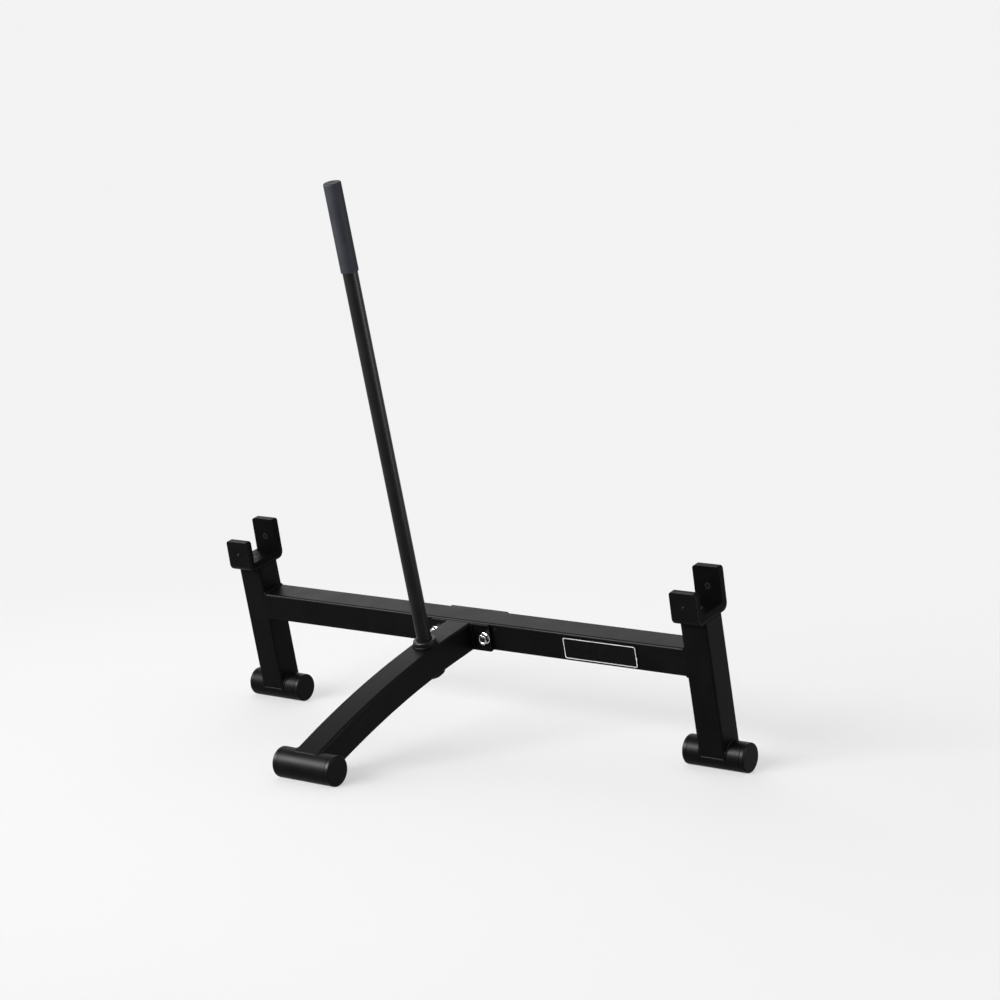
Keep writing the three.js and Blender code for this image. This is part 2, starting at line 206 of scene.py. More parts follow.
def studio_floor():
    finish, tree = new_finish("studio floor")
    place = add_node(tree, "TexCoord").outputs["Object"]
    reach = add_node(tree, "VectorMath", {0: place}, operation="LENGTH").outputs["Value"]
    away = add_node(tree, "MapRange", {"Value": reach, "From Min": FADE_START, "From Max": FADE_END},
                    interpolation_type="SMOOTHSTEP")
    paint = add_node(tree, "BsdfDiffuse", {"Color": fading_grey(tree, away, NEAR_PAINT_GREY, 0)})
    glow = add_node(tree, "Emission",
                    {"Color": fading_grey(tree, away, NEAR_GLOW_GREY, BACKDROP_GREY), "Strength": 1})
    looks = add_node(tree, "AddShader", {0: paint, 1: glow})
    bounce = add_node(tree, "BsdfDiffuse", {"Color": grey(BOUNCE_GREY)})
    both = add_node(tree, "MixShader", {0: seen_rays(tree), 1: bounce, 2: looks})
    add_node(tree, "OutputMaterial", {"Surface": both})
    return finish


disc = bmesh.new()
bmesh.ops.create_circle(disc, cap_ends=True, segments=128, radius=FLOOR_RADIUS)
floor_mesh = bpy.data.meshes.new("floor")
disc.to_mesh(floor_mesh)
disc.free()
floor_mesh.materials.append(studio_floor())
floor = bpy.data.objects.new("floor", floor_mesh)
bpy.context.scene.collection.objects.link(floor)
floor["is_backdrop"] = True
print("the floor fades between", FADE_START, "and", FADE_END, "m from its middle")

# %% [markdown]
# The world round the floor has the floor's far grey, so no horizon shows. As a source of light it is
# weaker: with its full grey, light from all sides would wash out the jack's shadow. One strength for both
# would be simpler, but either the backdrop or the shadow would be off.

# %% Make the backdrop
FILL_STRENGTH = 0.38
world = bpy.data.worlds.new("studio")
world.use_nodes = True
world.node_tree.nodes.clear()
pale = add_node(world.node_tree, "Background", {"Color": grey(BACKDROP_GREY), "Strength": 1})
fill = add_node(world.node_tree, "Background", {"Color": grey(1), "Strength": FILL_STRENGTH})
sky = add_node(world.node_tree, "MixShader", {0: seen_rays(world.node_tree), 1: fill, 2: pale})
add_node(world.node_tree, "OutputWorld", {"Surface": sky})
bpy.context.scene.world = world
bpy.context.scene.view_settings.view_transform = "Standard"
print("floor and world share the grey", BACKDROP_GREY)

# %% [markdown]
# ## Lamps
#
# A broad front light far away lights everything evenly, and lays the crossbar's soft shadow on the floor
# behind it. A large panel hangs behind and to the left, and is mirrored by everything that faces up, which
# makes the tops of the tubes read lighter than their fronts. Two more softboxes are there for the paint
# alone: round steel mirrors one into the bright band along the feet, and the other into the line along the
# handle's right side. Diffuse rays don't meet them, so they draw those lines and leave the level of the
# light as it is. A sun could replace the front light, but it has no size, and its shadows would be hard.

# %% Hang the lamps
LOOK_AT = Vector((0, 0, 0.15))


def soft_lamp(name, direction, distance, width, height, power, only_mirrored=False):
    """An area lamp in a direction from the jack, facing it."""
    data = bpy.data.lights.new(name, "AREA")
    data.shape = "RECTANGLE"
    data.size = width
    data.size_y = height
    data.energy = power
    lamp = bpy.data.objects.new(name, data)
    towards = Vector(direction).normalized()
    lamp.location = LOOK_AT + towards * distance
    lamp.rotation_euler = towards.to_track_quat("Z", "Y").to_euler()
    lamp.visible_camera = False
    lamp.visible_diffuse = not only_mirrored
    bpy.context.scene.collection.objects.link(lamp)


soft_lamp("front_light", (-0.14, -0.9, 0.42), 8, 5.7, 2.3, 640)
soft_lamp("rear_left_panel", (-0.6, 0.62, 0.47), 4, 3, 2.6, 53)
soft_lamp("foot_band_softbox", (-0.48, -0.72, 0.48), 3.3, 2.2, 1.3, 900, only_mirrored=True)
soft_lamp("handle_line_softbox", (0.95, 0.25, 0.16), 2.4, 0.7, 1.7, 100, only_mirrored=True)

# %% [markdown]
# ## Finish: black powder coat
#
# The steel is powder coated: a dry paint, baked on. It is satin black, with a very fine grain from the
# powder and a shallow orange peel from its flow. A flat black would look like a hole in the picture, so the
# finish has a hint of change in colour and in roughness, and two layers of bump at the real sizes of grain
# and peel. All of it comes from noise in the object's own metres, so the grain is the same size on every
# piece.
#
# In the picture the coat mirrors the lamps and hardly anything of the pale room, so its index of refraction
# is set lower than a real paint's. The coat of the handle and its socket is glossier, and gets more of it.
#
# Each finish could be wired by hand in the Shader Editor. All finishes of the jack have the same plan,
# though, so one function wires it, and a finish is a short list of numbers: two colours, a range of
# roughness, and layers of noise.

# %% Layers of noise
NOISE_LOW, NOISE_HIGH = 0.3, 0.7
NOISE_ROUGHNESS = 0.55


def noise(tree, place, size, detail, stretch):
    """Noise whose blotches are about that size, drawn out along X by the stretch."""
    scaled = add_node(tree, "VectorMath", {0: place, 1: (1 / stretch, 1, 1)}, operation="MULTIPLY")
    return add_node(tree, "TexNoise", {"Vector": scaled, "Scale": 1 / size, "Detail": detail,
                                       "Roughness": NOISE_ROUGHNESS})


def blend_colours(tree, factor, dark, light):
    ramp = add_node(tree, "ValToRGB", {"Fac": factor})
    for stop, position, colour in zip(ramp.color_ramp.elements, (NOISE_LOW, NOISE_HIGH), (dark, light)):
        stop.position = position
        stop.color = (*colour, 1)
    return ramp


def spread(tree, factor, low, high):
    """Noise made to run from low to high."""
    return add_node(tree, "MapRange", {"Value": factor, "From Min": NOISE_LOW, "From Max": NOISE_HIGH,
                                       "To Min": low, "To Max": high})


def bumped(tree, layers):
    """A normal from layers of (noise, height in metres)."""
    below = {}
    for height_map, height in layers:
        inputs = {"Height": height_map, "Distance": height, "Strength": 1}
        below = {"Normal": add_node(tree, "Bump", inputs | below)}
    return below["Normal"]


print("noise from", NOISE_LOW, "to", NOISE_HIGH, "is spread over a finish's range")

# %% [markdown]
# The first noise of a finish drifts its colour and its roughness, on the powder coat in blotches about as
# wide as a tube. Finer noise is its bump: here the orange peel, a few millimetres across, and the grain.
# One strong bump would be simpler, but would look like sand and not like paint.

# %% Mix the powder coat


def layer(size, detail=2, height=0, stretch=1):
    """A layer of noise: the size of its blotches and its bump's height in mm, and its stretch along X."""
    return size * mm, detail, height * mm, stretch


def mix_finish(name, dark, light, roughness, layers, rough_layer=0, **settings):
    """A finish from layers of noise.

    The first layer drifts the colour, and the roughness too unless another one is named. Each layer with a
    height is also a bump. The settings are the shader's own plain values."""
    finish, tree = new_finish(name)
    place = add_node(tree, "TexCoord").outputs["Object"]
    maps = [noise(tree, place, size, detail, stretch) for size, detail, height, stretch in layers]
    bumps = [(height_map, height) for height_map, (_, _, height, _) in zip(maps, layers) if height]
    shader = add_node(tree, "BsdfPrincipled", {
        "Base Color": blend_colours(tree, maps[0], dark, light),
        "Roughness": spread(tree, maps[rough_layer], *roughness),
        "Normal": bumped(tree, bumps),
    } | settings)
    add_node(tree, "OutputMaterial", {"Surface": shader})
    return finish


def mix_powder_coat(name, refraction):
    return mix_finish(name, (0.0014, 0.0014, 0.0015), (0.0028, 0.0028, 0.003), (0.39, 0.46),
                      [layer(45, detail=4), layer(3.6, height=0.05), layer(0.8, height=0.022)],
                      IOR=refraction)


powder_coat = mix_powder_coat("satin black powder coat", 1.105)
handle_coat = mix_powder_coat("glossier black of the handle and its socket", 1.2)
print("powder coat nodes:", len(powder_coat.node_tree.nodes))

# %% [markdown]
# ## Finishes: plastics and rubber
#
# Three soft-looking blacks, each a little different. The end caps are moulded plastic, smoother and
# glossier than the coat. The cradle liners are cut from thick wear plastic, so faint machine lines run
# along them: noise drawn out thirty times along X. The grip is rubber, dull and slightly blue-grey. They
# could share one material with other numbers, but the cut lines and the rubber's grain need layers of their
# own.

# %% Mix the plastics and the rubber
cap_plastic = mix_finish("moulded cap plastic", (0.0018, 0.0018, 0.0019), (0.0034, 0.0034, 0.0036),
                         (0.36, 0.43), [layer(14, detail=3, height=0.06), layer(0.5, height=0.008)],
                         IOR=1.115)
liner_plastic = mix_finish("cut wear plastic", (0.0011, 0.00115, 0.0013), (0.0022, 0.0023, 0.0026),
                           (0.4, 0.5), [layer(22, detail=4, height=0.08),
                                        layer(0.9, height=0.02, stretch=30)], rough_layer=1, IOR=1.075)
grip_rubber = mix_finish("grip rubber", (0.0175, 0.019, 0.025), (0.0265, 0.0285, 0.0365), (0.55, 0.66),
                         [layer(30, detail=5), layer(0.7, detail=3, height=0.035)], IOR=1.17)
print("plastics mixed:", cap_plastic.name, "/", liner_plastic.name, "/", grip_rubber.name)

# %% [markdown]
# ## Finishes: bare metals and the label
#
# Bolts, nuts and washers are zinc plated, bright with a faint cloudy bloom. The bolts' threaded ends are
# painted near black: painted shade, for the shadow inside the nut's hole. The liner screws are blackened
# steel. The plate on the crossbar is smooth black with a thin pale border, and stays bare inside it.

# %% Mix the metals and the label's two paints
zinc = mix_finish("bright zinc plating", (0.33, 0.335, 0.35), (0.58, 0.585, 0.6), (0.14, 0.28),
                  [layer(4, detail=4), layer(0.35, height=0.006, stretch=6)], Metallic=1)
black_steel = mix_finish("blackened screw steel", (0.0045, 0.0045, 0.005), (0.0095, 0.0095, 0.0105),
                         (0.48, 0.6), [layer(2.5, detail=3, height=0.01)], Metallic=1)
# The bolts' threaded ends are painted near black: painted shade, for the shadow inside the nut's hole.
thread_end_shade = mix_finish("thread end painted dark as shade", (0.004, 0.004, 0.0045), (0.05, 0.05, 0.055), (0.25, 0.45),
                          [layer(1.5, detail=3, height=0.02)], Metallic=1)
label_layers = [layer(9, detail=3), layer(0.5, height=0.006)]
label_black = mix_finish("label black", (0.0016,) * 3, (0.003,) * 3, (0.34, 0.42), label_layers, IOR=1.12)
label_border_paint = mix_finish("label border", (0.7,) * 3, (0.8,) * 3, (0.4, 0.5), label_layers, IOR=1.12)
print("finishes so far:", len(bpy.data.materials))

# %% [markdown]
# ## A workbench of shapes
#
# Nearly everything here is either turned (pipes, caps, nuts' holes) or pulled along a line (square tube,
# straps, weld beads). Both come down to the same thing: a row of rings of points, skinned with faces. One
# skinning function therefore does both. The Screw modifier or a bevelled curve could make them too, but
# rings in code keep each dimension named, and give clean quads with no hidden faces.
#
# Corners are never left sharp: `soft_line` rounds the corners of a profile before it is turned or pulled,
# because it is the small roundings that catch the light.

# %% Soft corners


def soft_line(points, steps=5, closed=True):
    """Rounds the corners of an outline. A point is (x, y) or (x, y, radius)."""
    line = []
    for i, (x, y, *radius) in enumerate(points):
        here = Vector((x, y))
        at_end = not closed and i in (0, len(points) - 1)
        if at_end or not radius or radius[0] <= 0:
            line.append(here)
            continue
        back = (Vector(points[i - 1][:2]) - here).normalized()
        ahead = (Vector(points[(i + 1) % len(points)][:2]) - here).normalized()
        half = back.angle(ahead) / 2
        centre = here + (back + ahead).normalized() * radius[0] / math.sin(half)
        start = (here + back * radius[0] / math.tan(half) - centre).normalized()
        end = (here + ahead * radius[0] / math.tan(half) - centre).normalized()
        line += [centre + start.slerp(end, k / steps) * radius[0] for k in range(steps + 1)]
    return line


def rounded_box(width, height, corner, steps=6):
    """A rectangle's outline about the origin, its corners rounded."""
    across, along = width / 2, height / 2
    return soft_line([(across, -along, corner), (across, along, corner),
                      (-across, along, corner), (-across, -along, corner)], steps)


print("a rounded square has", len(rounded_box(50 * mm, 50 * mm, 4 * mm)), "points")

# %% [markdown]
# Now the skin itself. It puts a face between each pair of neighbours on two rings. A closed row, such as
# the four faces of a pipe's wall, is looped. Any other row gets a cap at each end, or ends on the axis.

# %% Rings and skins


def skin(rings, looped=False, capped=True):
    """A mesh over a row of rings of points. Looped joins the last ring to the first."""
    shape = bmesh.new()
    rows = [[shape.verts.new(point) for point in ring] for ring in rings]
    pairs = list(zip(rows, rows[1:] + rows[:1])) if looped else list(zip(rows, rows[1:]))
    for one, other in pairs:
        for k in range(len(one)):
            shape.faces.new((one[k - 1], one[k], other[k], other[k - 1]))
    if capped and not looped:
        shape.faces.new(rows[0])
        shape.faces.new(rows[-1])
    bmesh.ops.remove_doubles(shape, verts=shape.verts, dist=1e-7)
    bmesh.ops.recalc_face_normals(shape, faces=shape.faces)
    return shape


def ring_points(radius, sides, turn=0, x=0):
    """Points round a circle about (x, 0), the first one at an angle."""
    turns = [turn + math.tau * k / sides for k in range(sides)]
    return [(x + radius * math.cos(t), radius * math.sin(t)) for t in turns]


def turned(profile, sides=96, looped=False):
    """A profile of (radius, height) turned about Z. It ends on the axis, or is looped for a pipe."""
    return skin([[(*point, height) for point in ring_points(radius, sides)]
                 for radius, height in profile], looped, capped=False)


def pulled(outline, start, end, axis="Z"):
    """An outline pulled straight along an axis, as a capped rod or plate."""
    turn = {"X": lambda p, h: (h, p[0], p[1]), "Y": lambda p, h: (p[0], h, p[1]),
            "Z": lambda p, h: (p[0], p[1], h)}[axis]
    return skin([[turn(point, height) for point in outline] for height in (start, end)])


hexagonal_rod = pulled(ring_points(5 * mm, 6), 0, 20 * mm)
print("a six-sided rod has", len(hexagonal_rod.faces), "faces")
hexagonal_rod.free()

# %% [markdown]
# ## From a shape to a piece
#
# Some shapes are easier to cut than to build: a hole, a saddle, a chamfered hexagon. They are made with
# Boolean modifiers and a throw-away tool, and a Bevel modifier eases sharp edges. Each modifier is applied
# at once, so the finished piece is a plain mesh that looks the same in any program.

# %% Apply modifiers


def loose_object(name, shape):
    mesh = bpy.data.meshes.new(name)
    shape.to_mesh(mesh)
    shape.free()
    thing = bpy.data.objects.new(name, mesh)
    bpy.context.scene.collection.objects.link(thing)
    return thing


def settle(thing):
    """Applies a thing's modifiers to its mesh."""
    bpy.context.view_layer.update()
    graph = bpy.context.evaluated_depsgraph_get()
    made = bpy.data.meshes.new_from_object(thing.evaluated_get(graph), preserve_all_data_layers=True,
                                           depsgraph=graph)
    made.name = thing.name
    thing.modifiers.clear()
    thing.data = made


def carve(thing, shapes, operation):
    """Combines a thing with shapes that are given in its own frame."""
    for shape in shapes:
        tool = loose_object("tool", shape)
        tool.matrix_world = thing.matrix_world
        cut = thing.modifiers.new("cut", "BOOLEAN")
        cut.operation = operation
        cut.solver = "EXACT"
        cut.object = tool
        settle(thing)
        bpy.data.objects.remove(tool)


def ease_edges(thing, width):
    """Rounds a thing's sharp edges by a Bevel modifier."""
    bevel = thing.modifiers.new("ease", "BEVEL")
    bevel.width = width
    bevel.segments = 2
    bevel.limit_method = "ANGLE"
    bevel.angle_limit = math.radians(40)
    settle(thing)


# %% [markdown]
# A piece of the jack needs more than its shape: smooth shading that still keeps flat faces flat, a finish,
# the body that it moves with, and the plain solid that it stands for. `piece` does all of this in one
# place. The Weighted Normal modifier lets the large flat faces decide how they are shaded, so light doesn't
# swim over them beside a rounded corner. At the end the mesh is moved into the jack's own frame, so that
# every piece has its origin where the jack has it.

# %% Make a piece


def piece(name, shape, place, node=None, finish=powder_coat, body="stand", trims=(),
          cuts=(), joins=(), ease=0, keep_sharp=35):
    """A finished piece that rides on its body, and stands for the plain solid that node names.

    Only what lies in its trims is kept, its cuts are taken away, and its joins are added."""
    thing = loose_object(name, shape)
    thing.matrix_world = place
    bpy.context.view_layer.update()
    carve(thing, trims, "INTERSECT")
    carve(thing, cuts, "DIFFERENCE")
    carve(thing, joins, "UNION")
    if ease:
        ease_edges(thing, ease)
    thing.data.polygons.foreach_set("use_smooth", [True] * len(thing.data.polygons))
    thing.data.set_sharp_from_angle(angle=math.radians(keep_sharp))
    thing.modifiers.new("flat faces stay flat", "WEIGHTED_NORMAL").keep_sharp = True
    settle(thing)
    thing.data.transform(place)
    thing.matrix_world = Matrix.Identity(4)
    thing.data.materials.clear()
    thing.data.materials.append(finish)
    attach(thing, body)
    if node:
        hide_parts(node)
        compare(thing, node)
    return thing


def compare(thing, node):
    """Prints by how much a piece's box differs from its plain solid's, where that is over 0.5 mm."""
    points = [thing.matrix_world @ v.co for v in thing.data.vertices]
    low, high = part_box(node)
    off = [round((pick(p[i] for p in points) - corner[i]) / mm, 2)
           for pick, corner in ((min, low), (max, high)) for i in range(3)]
    if max(map(abs, off)) > 0.5:
        print("  ", thing.name, "differs from", node, "by", off, "mm")


print("plain solids to dress:", len(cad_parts))

# %% [markdown]
# ## Feet
#
# Each foot is a short piece of round pipe that lies crosswise, so the jack can roll back on it. A plastic
# cap is pushed into each end. The pipe is turned from a looped profile, which gives it a real wall. The
# cap's rim is as wide as the pipe and rounded, and that rounding catches the small bright glint beside the
# seam.

# %% Turn the feet
FOOT_LENGTH = 118 * mm
CAP_RIM = 8 * mm
SEAM = 0.3 * mm
PIPE_WALL = 3 * mm
pipe_half = FOOT_LENGTH / 2 - CAP_RIM - SEAM
along_x = Matrix.Rotation(math.radians(90), 4, "Y")


def pipe(inner, outer, low, high, eases, steps=3, sides=96):
    """A pipe along Z. The eases round its inner low, outer low, outer high and inner high edge, in mm."""
    corners = (inner, low), (outer, low), (outer, high), (inner, high)
    profile = soft_line([(*corner, ease * mm) for corner, ease in zip(corners, eases)], steps)
    return turned(profile, sides, looped=True)


def foot_cap():
    """A hollow cap: its open spigot reaches into the pipe, its face is at CAP_RIM above the seam."""
    spigot = FOOT_RADIUS - PIPE_WALL - SEAM
    wall = 2.5 * mm
    depth = 14 * mm
    gate = 2.2 * mm
    dimple = 0.25 * mm
    return turned(soft_line([
        (0, CAP_RIM - wall), (spigot - wall, CAP_RIM - wall, 0.6 * mm), (spigot - wall, -depth),
        (spigot, -depth, 0.6 * mm), (spigot, 0, 0.3 * mm), (FOOT_RADIUS, 0, 0.5 * mm),
        (FOOT_RADIUS, CAP_RIM, 2.5 * mm), (gate, CAP_RIM, 0.3 * mm), (gate - dimple, CAP_RIM - dimple),
        (0, CAP_RIM - dimple),
    ], 6, closed=False))


def make_foot(name, node, axis):
    place = Matrix.Translation(axis)
    foot_pipe = pipe(FOOT_RADIUS - PIPE_WALL, FOOT_RADIUS, -pipe_half, pipe_half, (0.5, 0.5, 0.5, 0.5))
    piece(f"{name}_pipe", foot_pipe, place @ along_x, f"{node}_tube")
    for end, sign in SIDES.items():
        seat = Matrix.Translation((sign * (pipe_half + SEAM), 0, 0)) @ Matrix.Rotation(
            math.radians(90 * sign), 4, "Y")
        piece(f"{name}_{end}_end_cap", foot_cap(), place @ seat, f"{node}_cap_{end}", cap_plastic)


make_foot("front_foot", "front_foot", front_axis)
for side, upright in upright_frame.items():
    make_foot(f"{side}_rear_foot", f"rear_foot_{side}", upright.translation)
print("a foot is", round(FOOT_LENGTH / mm), "mm long and", round(2 * FOOT_RADIUS / mm), "mm thick")

# %% [markdown]
# ## Uprights and crossbar
#
# These are square steel tube with rolled corners. A looped row of rings gives the tube its wall: out along
# the outside, back along the inside. The uprights are saddled over the round feet, which one Boolean
# cylinder does, and a second cut lets the cradle sit at its own angle on top.

# %% Cut the square tubes
TUBE_SIDE = 50.8 * mm
TUBE_WALL = 3 * mm
TUBE_CORNER = 4 * mm
TUBE_INNER_CORNER = 1.5 * mm
CUTTER_SIZE = 70 * mm
tube_half = TUBE_SIDE / 2
outer_outline = rounded_box(TUBE_SIDE, TUBE_SIDE, TUBE_CORNER)
inner_outline = rounded_box(TUBE_SIDE - 2 * TUBE_WALL, TUBE_SIDE - 2 * TUBE_WALL, TUBE_INNER_CORNER)


def square_tube(stations):
    """A hollow square tube through stations, each a function that places a point of the section."""
    out = [[place(point) for point in outer_outline] for place in stations]
    back = [[place(point) for point in inner_outline] for place in reversed(stations)]
    return skin(out + back, looped=True)


def moved(shape, matrix):
    bmesh.ops.transform(shape, matrix=matrix, verts=shape.verts)
    return shape


def rod(radius, half):
    """A rod along Z, that long to both sides."""
    return turned([(0, -half), (radius, -half), (radius, half), (0, half)])


def saddle_cutter():
    return moved(rod(FOOT_RADIUS + SEAM, CUTTER_SIZE / 2), along_x)


def cradle_cutter():
    """A block that clears the room above the upright's slanted upper end."""
    block = pulled(rounded_box(CUTTER_SIZE, CUTTER_SIZE, 1 * mm), -SEAM, CUTTER_SIZE)
    return moved(block, tilted((0, 0, UPRIGHT_RISE), -CRADLE_SETBACK))


stations = [lambda p, z=z: (p[0], p[1], z) for z in (0, UPRIGHT_RISE + TUBE_SIDE)]
for side, upright in upright_frame.items():
    piece(f"{side}_upright_tube", square_tube(stations), upright, f"upright_{side}",
          cuts=(saddle_cutter(), cradle_cutter()))

crossbar_half = (UPRIGHT_SPREAD - TUBE_SIDE) / 2 - SEAM
stations = [lambda p, x=x: (x, p[0], p[1]) for x in (-crossbar_half, crossbar_half)]
crossbar_frame = leaning @ Matrix.Translation((0, 0, CROSSBAR_RISE))
piece("crossbar_tube", square_tube(stations), crossbar_frame, "crossbar")
print("crossbar:", round(2 * crossbar_half / mm, 1), "mm between the uprights")

# %% [markdown]
# ## The arched leg
#
# The front leg is the same square tube. It leaves the crossbar straight, then a bender has given it a long
# even arch down to the front foot. The arch is worked out from where it starts and where the foot is, so
# its radius isn't a number to guess. A curve object with a square bevel could do it, but would have no
# wall.

# %% Bend the leg
LEG_STRAIGHT = 50 * mm
ARCH_STEPS = 48
SOCKET_REACH = 103 * mm
SOCKET_RADIUS = 20 * mm
PLATE_THICKNESS = 6 * mm
arch_run = FOOT_STANCE * math.cos(LEAN) - tube_half - LEG_STRAIGHT
arch_drop = CROSSBAR_RISE - FOOT_STANCE * math.sin(LEAN)
arch_radius = (arch_run ** 2 + arch_drop ** 2) / (2 * arch_drop)
arch_length = arch_radius * 2 * math.atan2(arch_drop, arch_run)


def leg_frame(reach):
    """The frame on the leg's centre line, that far from the crossbar's face. Its Z stands off the leg."""
    bend = max(reach - LEG_STRAIGHT, 0) / arch_radius
    y = -(tube_half + min(reach, LEG_STRAIGHT) + arch_radius * math.sin(bend))
    z = CROSSBAR_RISE - arch_radius * (1 - math.cos(bend))
    return tilted((0, y, z), bend)


def leg_station(reach):
    here = leg_frame(reach)
    return lambda p: here @ Vector((p[0], 0, p[1]))


leg_first = PLATE_THICKNESS + 2 * SEAM
leg_end = LEG_STRAIGHT + arch_length
reaches = [leg_first] + [LEG_STRAIGHT + arch_length * k / ARCH_STEPS for k in range(ARCH_STEPS + 1)]
foot_cut = moved(saddle_cutter(), leg_frame(leg_end))
socket_cut = moved(rod(SOCKET_RADIUS + SEAM, CUTTER_SIZE), leg_frame(SOCKET_REACH))
piece("arched_leg_tube", square_tube([leg_station(r) for r in reaches]), leaning, "front_leg",
      cuts=(foot_cut, socket_cut))
arch_angle = round(math.degrees(arch_length / arch_radius), 1)
print("arch radius", round(arch_radius, 3), "m over", arch_angle, "degrees")

# %% [markdown]
# ## Handle socket
#
# A short thick tube goes right through the leg. It stands out above the leg as a collar and under it as a
# low bump. It is one turned profile, with a bore for the handle and a small lead-in at its mouth, so that
# the handle finds its way.

# %% Turn the socket
HANDLE_RADIUS = 12.7 * mm
SOCKET_RISE = 10 * mm
SOCKET_DROP = 8 * mm
SOCKET_FLOOR = 6 * mm
SOCKET_LEAD = 1 * mm
HANDLE_PLAY = 0.4 * mm
bore = HANDLE_RADIUS + HANDLE_PLAY
socket_bottom = -(tube_half + SOCKET_DROP)
socket_top = tube_half + SOCKET_RISE
socket_frame = leaning @ leg_frame(SOCKET_REACH)
socket_profile = soft_line([
    (0, socket_bottom), (SOCKET_RADIUS, socket_bottom, 2.5 * mm), (SOCKET_RADIUS, socket_top, 2.5 * mm),
    (bore + SOCKET_LEAD, socket_top, 0.3 * mm), (bore, socket_top - SOCKET_LEAD, 0.3 * mm),
    (bore, socket_bottom + SOCKET_FLOOR, 0.6 * mm), (0, socket_bottom + SOCKET_FLOOR),
], 6, closed=False)
piece("handle_socket_collar", turned(socket_profile), socket_frame, "handle_socket", handle_coat)
print("the socket stands", round((socket_top - tube_half) / mm, 1), "mm above the leg")

# %% [markdown]
# ## Handle and grip
#
# The handle is a plain steel tube that stands in the socket, and lifts out of it. A rubber sleeve is pulled
# over its upper end, closed and slightly rounded at the top. Both ride on the body "handle", so they rise
# together while the socket stays.

# %% Make the handle
HANDLE_LENGTH = 869 * mm
HANDLE_WALL = 2.5 * mm
GRIP_LENGTH = 150 * mm
GRIP_WALL = 1.8 * mm
GRIP_TOP = 3 * mm
GRIP_DIMPLE = 5 * mm
DIMPLE_DEPTH = 0.4 * mm
handle_bottom = socket_bottom + SOCKET_FLOOR + SEAM
handle_end = handle_bottom + HANDLE_LENGTH
handle_pipe = pipe(HANDLE_RADIUS - HANDLE_WALL, HANDLE_RADIUS, handle_bottom, handle_end,
                   (0.4, 0.8, 0.8, 0.4))
piece("lever_handle_tube", handle_pipe, socket_frame, "handle_tube", handle_coat, body="handle")

grip_inner = HANDLE_RADIUS + SEAM
grip_outer = grip_inner + GRIP_WALL
grip_top = handle_end + SEAM + GRIP_TOP
grip_low = grip_top - GRIP_LENGTH
grip_profile = soft_line([
    (0, handle_end + SEAM), (grip_inner, handle_end + SEAM, 0.4 * mm), (grip_inner, grip_low, 0.3 * mm),
    (grip_outer, grip_low, 0.8 * mm), (grip_outer, grip_top, 2.5 * mm),
    (GRIP_DIMPLE + 0.5 * mm, grip_top, 1 * mm), (GRIP_DIMPLE, grip_top - DIMPLE_DEPTH, 1 * mm),
    (0, grip_top - DIMPLE_DEPTH),
], 6, closed=False)
piece("rubber_hand_grip", turned(grip_profile), socket_frame, "handle_grip", grip_rubber,
      body="handle")
print("handle", round(HANDLE_LENGTH / mm), "mm long, grip", round(2 * grip_outer / mm, 1), "mm thick")

# %% [markdown]
# ## Plates that clamp the leg
#
# The leg ends in a plate, and a second plate lies behind the crossbar. Two bolts draw them together. Each
# plate is an outline pulled to its thickness and drilled. The Bevel modifier then eases every sharp edge,
# the holes' edges too, which is less work than rounding them by hand and just as true.

# %% Cut and drill the plates
PLATE_WIDTH = 128 * mm
PLATE_HEIGHT = 49 * mm
PLATE_CORNER = 5 * mm
PLATE_DROP = 1.3 * mm
BOLT_SPACING = 106 * mm
BOLT_RADIUS = 5 * mm
BOLT_CLEARANCE = 0.5 * mm
DRILL_PAST = 10 * mm
PLATE_EASE = 0.7 * mm
flange_front = -(tube_half + SEAM + PLATE_THICKNESS)
clamp_back = tube_half + SEAM + PLATE_THICKNESS

for name, node, front in (("leg_end_plate", "leg_flange", flange_front),
                          ("backing_plate", "clamp_plate", tube_half + SEAM)):
    back = front + PLATE_THICKNESS
    drills = [pulled(ring_points(BOLT_RADIUS + BOLT_CLEARANCE, 48, x=sign * BOLT_SPACING / 2),
                     front - DRILL_PAST, back + DRILL_PAST, axis="Y") for sign in SIDES.values()]
    outline = [p - Vector((0, PLATE_DROP)) for p in rounded_box(PLATE_WIDTH, PLATE_HEIGHT, PLATE_CORNER)]
    plate = pulled(outline, front, back, axis="Y")
    piece(name, plate, crossbar_frame, node, cuts=drills, ease=PLATE_EASE)
print("bolt holes", round(BOLT_SPACING / mm), "mm apart")

# %% [markdown]
# ## Bolts, nuts and washers
#
# Hexagon nuts and bolt heads are chamfered on a lathe before they are plated, so their corners are cut by a
# shallow cone and the flats end in soft arcs. The same is done here: a six-sided prism is intersected with
# a turned double cone. The washers are stamped, so one edge is a little rounder than the other.

# %% Chamfer a hexagon
HEX_ACROSS = 17 * mm
HEX_TURN = math.radians(11)
CHAMFER_SHARE = 0.96
CHAMFER_ANGLE = math.radians(30)
hex_corner = HEX_ACROSS / math.sqrt(3)


def chamfer_cone(height, both_ends):
    """The double cone that cuts a hexagon's corners, from a flat just inside its sides."""
    flat = HEX_ACROSS / 2 * CHAMFER_SHARE
    wide = hex_corner + 0.3 * mm
    slope = (wide - flat) * math.tan(CHAMFER_ANGLE)
    low = [(0, 0), (flat, 0), (wide, slope)] if both_ends else [(0, 0), (wide, 0)]
    return turned(low + [(wide, height - slope), (flat, height), (0, height)], sides=72)


def hexagon(height):
    return pulled(ring_points(hex_corner, 6, HEX_TURN + math.pi / 6), 0, height)


print("nuts", round(HEX_ACROSS / mm), "mm across flats")

# %% [markdown]
# The threads are rings and not a helix. At this size the two look the same from any side, and rings keep
# the mesh closed. The nut's hole opens out at both of its ends, as a real one does so that the bolt finds
# its way in.

